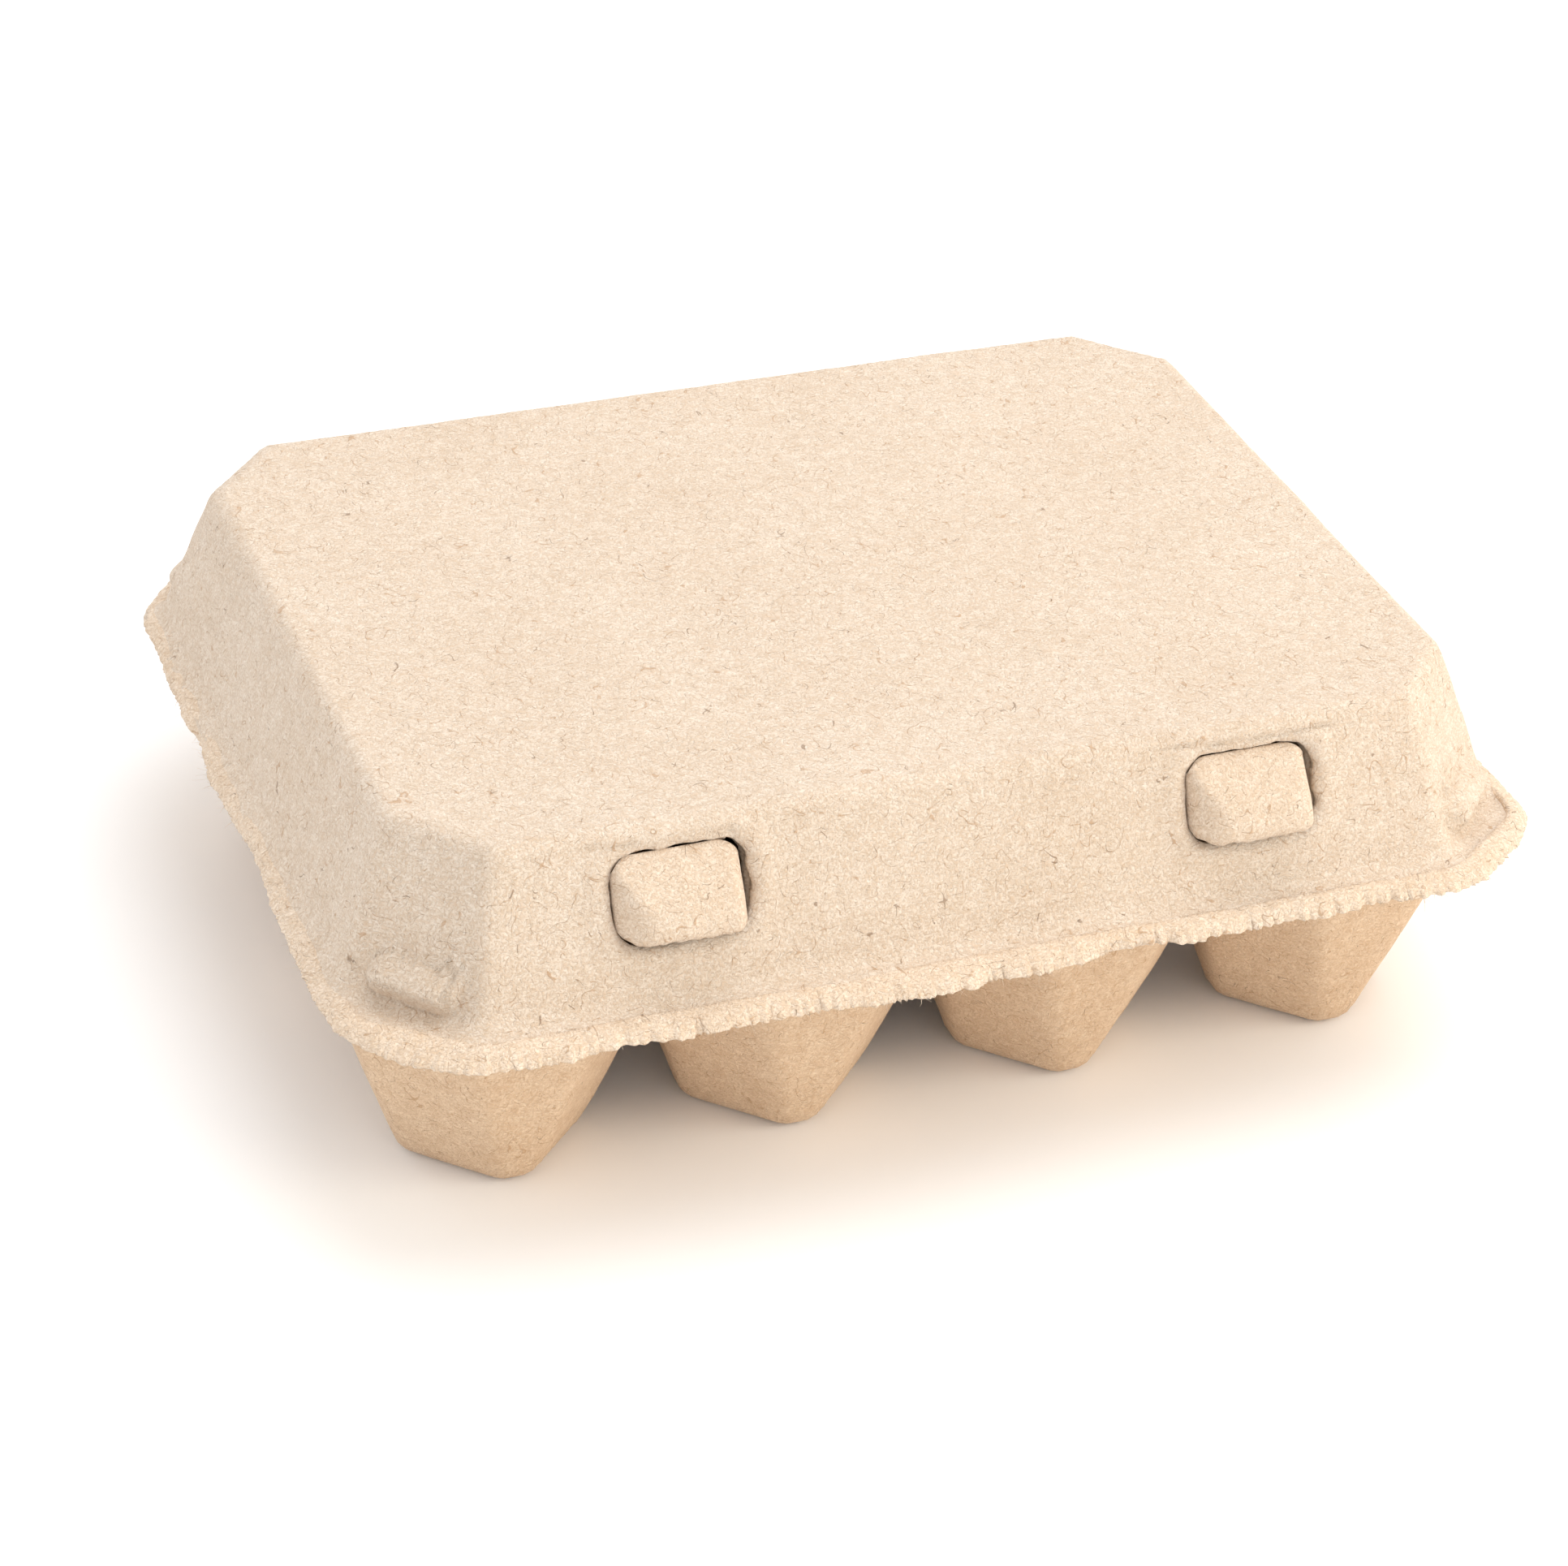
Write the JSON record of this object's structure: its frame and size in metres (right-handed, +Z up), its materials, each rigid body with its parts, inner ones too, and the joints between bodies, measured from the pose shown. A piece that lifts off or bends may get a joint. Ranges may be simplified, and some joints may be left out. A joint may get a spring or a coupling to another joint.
{
  "type": "egg carton",
  "caption": "Moulded-pulp egg carton with tapered octagonal cups and dividing posts, a rear-hinged lid with two front windows, and a spring flap whose tabs catch in them.",
  "frame": {"origin": "on the ground under the middle of the closed carton", "axes": "+X along the carton's length, to the right seen from the locking windows; +Y from the windows towards the lid hinge; +Z up"},
  "size_m": [0.201, 0.169, 0.0655],
  "materials": {
    "base_pulp": "rough moulded recycled pulp, brown",
    "lid_pulp": "rough moulded recycled pulp, warm cream-grey",
    "flap_pulp": "rough moulded recycled pulp with torn fibrous edges"
  },
  "bodies": {
    "base": {"egg_cup_front_1": "base_pulp", "egg_cup_front_2": "base_pulp", "egg_cup_front_3": "base_pulp", "egg_cup_front_4": "base_pulp", "egg_cup_middle_1": "base_pulp", "egg_cup_middle_2": "base_pulp", "egg_cup_middle_3": "base_pulp", "egg_cup_middle_4": "base_pulp", "egg_cup_rear_1": "base_pulp", "egg_cup_rear_2": "base_pulp", "egg_cup_rear_3": "base_pulp", "egg_cup_rear_4": "base_pulp", "divider_post_front_1": "base_pulp", "divider_post_front_2": "base_pulp", "divider_post_front_3": "base_pulp", "divider_post_rear_1": "base_pulp", "divider_post_rear_2": "base_pulp", "divider_post_rear_3": "base_pulp", "rim_posts_front": "base_pulp", "rim_posts_rear": "base_pulp", "rim_posts_left": "base_pulp", "rim_posts_right": "base_pulp", "rim_posts_corner": "base_pulp", "base_rim_front": "base_pulp", "base_rim_rear": "base_pulp", "base_rim_left": "base_pulp", "base_rim_right": "base_pulp", "rear_hinge_fold": "base_pulp", "front_hinge_fold": "base_pulp"},
    "lid": {"lid_crown": "lid_pulp", "lid_front_wall": "lid_pulp", "lid_flange_front": "lid_pulp", "lid_corner_front_right_wall": "lid_pulp", "nesting_lug_front_right": "lid_pulp", "lid_right_wall": "lid_pulp", "lid_flange_right": "lid_pulp", "lid_corner_rear_right_wall": "lid_pulp", "nesting_lug_rear_right": "lid_pulp", "lid_rear_wall": "lid_pulp", "lid_flange_rear": "lid_pulp", "lid_corner_rear_left_wall": "lid_pulp", "nesting_lug_rear_left": "lid_pulp", "lid_left_wall": "lid_pulp", "lid_flange_left": "lid_pulp", "lid_corner_front_left_wall": "lid_pulp", "nesting_lug_front_left": "lid_pulp", "lid_flange_corners": "lid_pulp"},
    "flap": {"locking_flap": "flap_pulp"},
    "tab_left": {"lock_tab_left": "flap_pulp"},
    "tab_right": {"lock_tab_right": "flap_pulp"}
  },
  "joints": [
    {"name": "lid_hinge", "type": "hinge", "parent": "base", "child": "lid", "pos_m": [0, 0.0835, 0.0383], "axis": [-1, 0, 0], "range_deg": [0, 178], "deforming": ["lock_tab_left", "lock_tab_right"]},
    {"name": "flap_hinge", "type": "hinge", "parent": "base", "child": "flap", "pos_m": [0, -0.0737, 0.0389], "axis": [1, 0, 0], "range_deg": [0, 107]},
    {"name": "tab_left_press", "type": "hinge", "parent": "flap", "child": "tab_left", "pos_m": [-0.047, -0.0682, 0.05997], "axis": [1, 0, 0], "range_deg": [0, 30], "stiffness_Nm_per_rad": 0.005},
    {"name": "tab_right_press", "type": "hinge", "parent": "flap", "child": "tab_right", "pos_m": [0.047, -0.0682, 0.05997], "axis": [1, 0, 0], "range_deg": [0, 30], "stiffness_Nm_per_rad": 0.005}
  ],
  "couplings": [
    {"joint": "flap_hinge", "follows": "lid_hinge", "ratio": 0.6}
  ]
}
